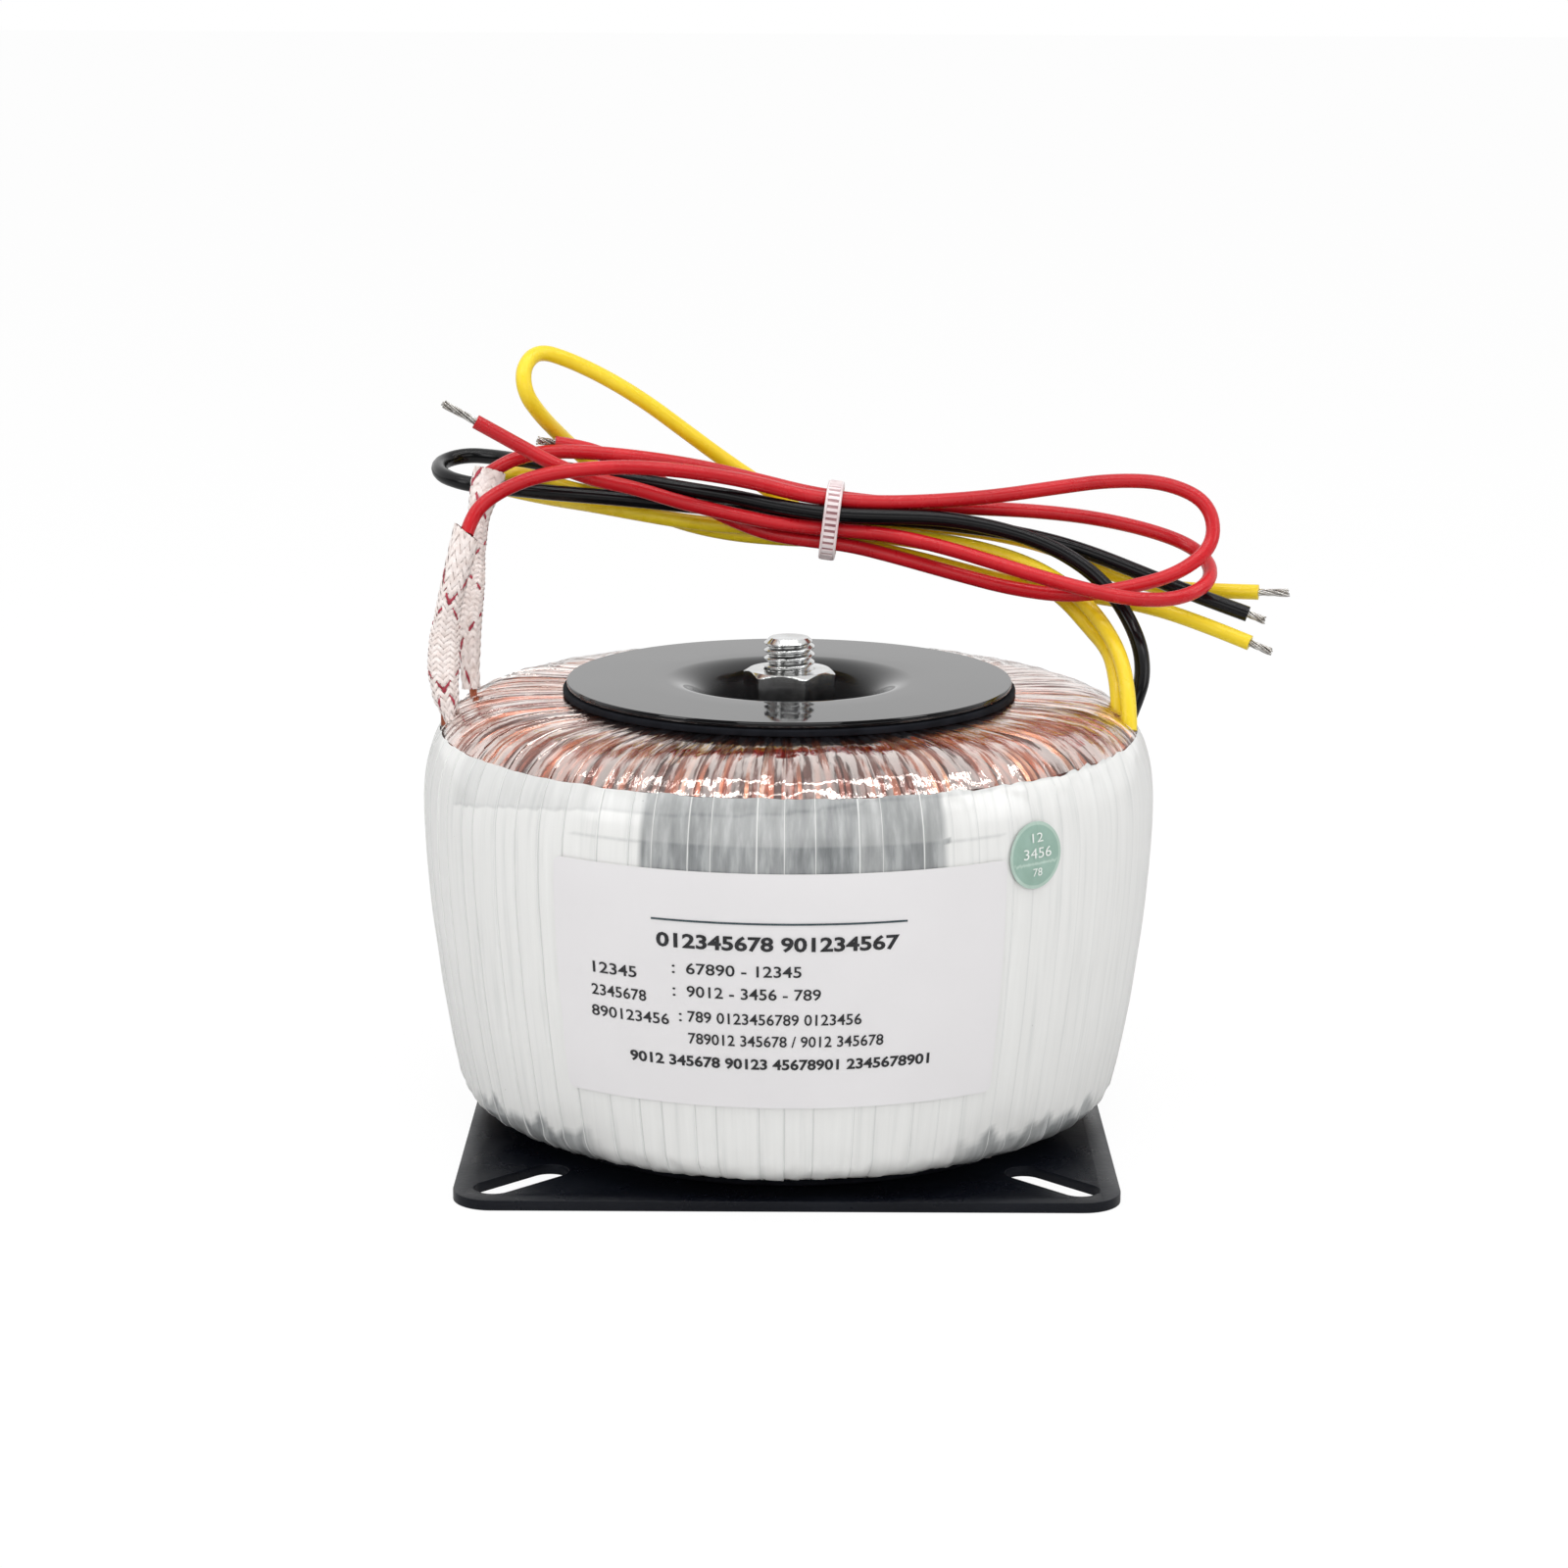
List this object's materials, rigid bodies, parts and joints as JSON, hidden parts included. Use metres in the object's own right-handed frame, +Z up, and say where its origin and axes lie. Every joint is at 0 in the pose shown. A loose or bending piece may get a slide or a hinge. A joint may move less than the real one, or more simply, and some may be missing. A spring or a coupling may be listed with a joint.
{
  "type": "toroidal transformer",
  "caption": "Ring-shaped mains transformer wrapped in white tape, clamped to a square slotted plate by a dished washer and bolt, with tied lead wires.",
  "frame": {"origin": "centre of the mounting plate at its underside", "axes": "+Z up along the clamping bolt, -Y towards the label, +X to the right seen from the label's side, along the plate's front edge"},
  "size_m": [0.1386, 0.1156, 0.1215],
  "materials": {
    "plate_black": "semi-gloss black paint",
    "rubber_black": "matt neoprene",
    "core_steel": "edge of wound silicon steel strip",
    "tape_yellow": "translucent polyester tape",
    "copper": "enamelled copper wire",
    "clear_film": "clear polyester film",
    "tape_white": "white polyester tape",
    "label_paper": "satin white label",
    "sticker_green": "pale green paper",
    "dish_black": "gloss black enamel",
    "zinc": "bright zinc plate",
    "braid_white": "white glass-fibre braid with red tracer",
    "nylon": "natural nylon",
    "lead_red": "red PVC",
    "lead_yellow": "yellow PVC",
    "lead_black": "black PVC",
    "tinned_strands": "tinned copper strands"
  },
  "bodies": {
    "root": {"base_plate": "plate_black", "base_pad": "rubber_black", "top_pad": "rubber_black", "core": "core_steel", "core_insulation": "tape_yellow", "primary_winding": "copper", "winding_insulation": "tape_yellow", "secondary_winding": "copper", "outer_film": "clear_film", "side_wrap": "tape_white", "label": "label_paper", "inspection_sticker": "sticker_green", "dished_washer": "dish_black", "flat_washer": "zinc", "spring_washer": "zinc", "hex_nut": "zinc", "clamp_bolt": "zinc", "front_sleeve": "braid_white", "rear_sleeve": "braid_white", "front_winding_tail": "copper", "rear_winding_tail": "copper", "cable_tie": "nylon", "front_red_lead": "lead_red", "front_red_bare_end": "tinned_strands", "rear_red_lead": "lead_red", "rear_red_bare_end": "tinned_strands", "black_lead": "lead_black", "black_bare_end": "tinned_strands", "front_yellow_lead": "lead_yellow", "front_yellow_bare_end": "tinned_strands", "rear_yellow_lead": "lead_yellow", "rear_yellow_bare_end": "tinned_strands"}
  },
  "joints": []
}
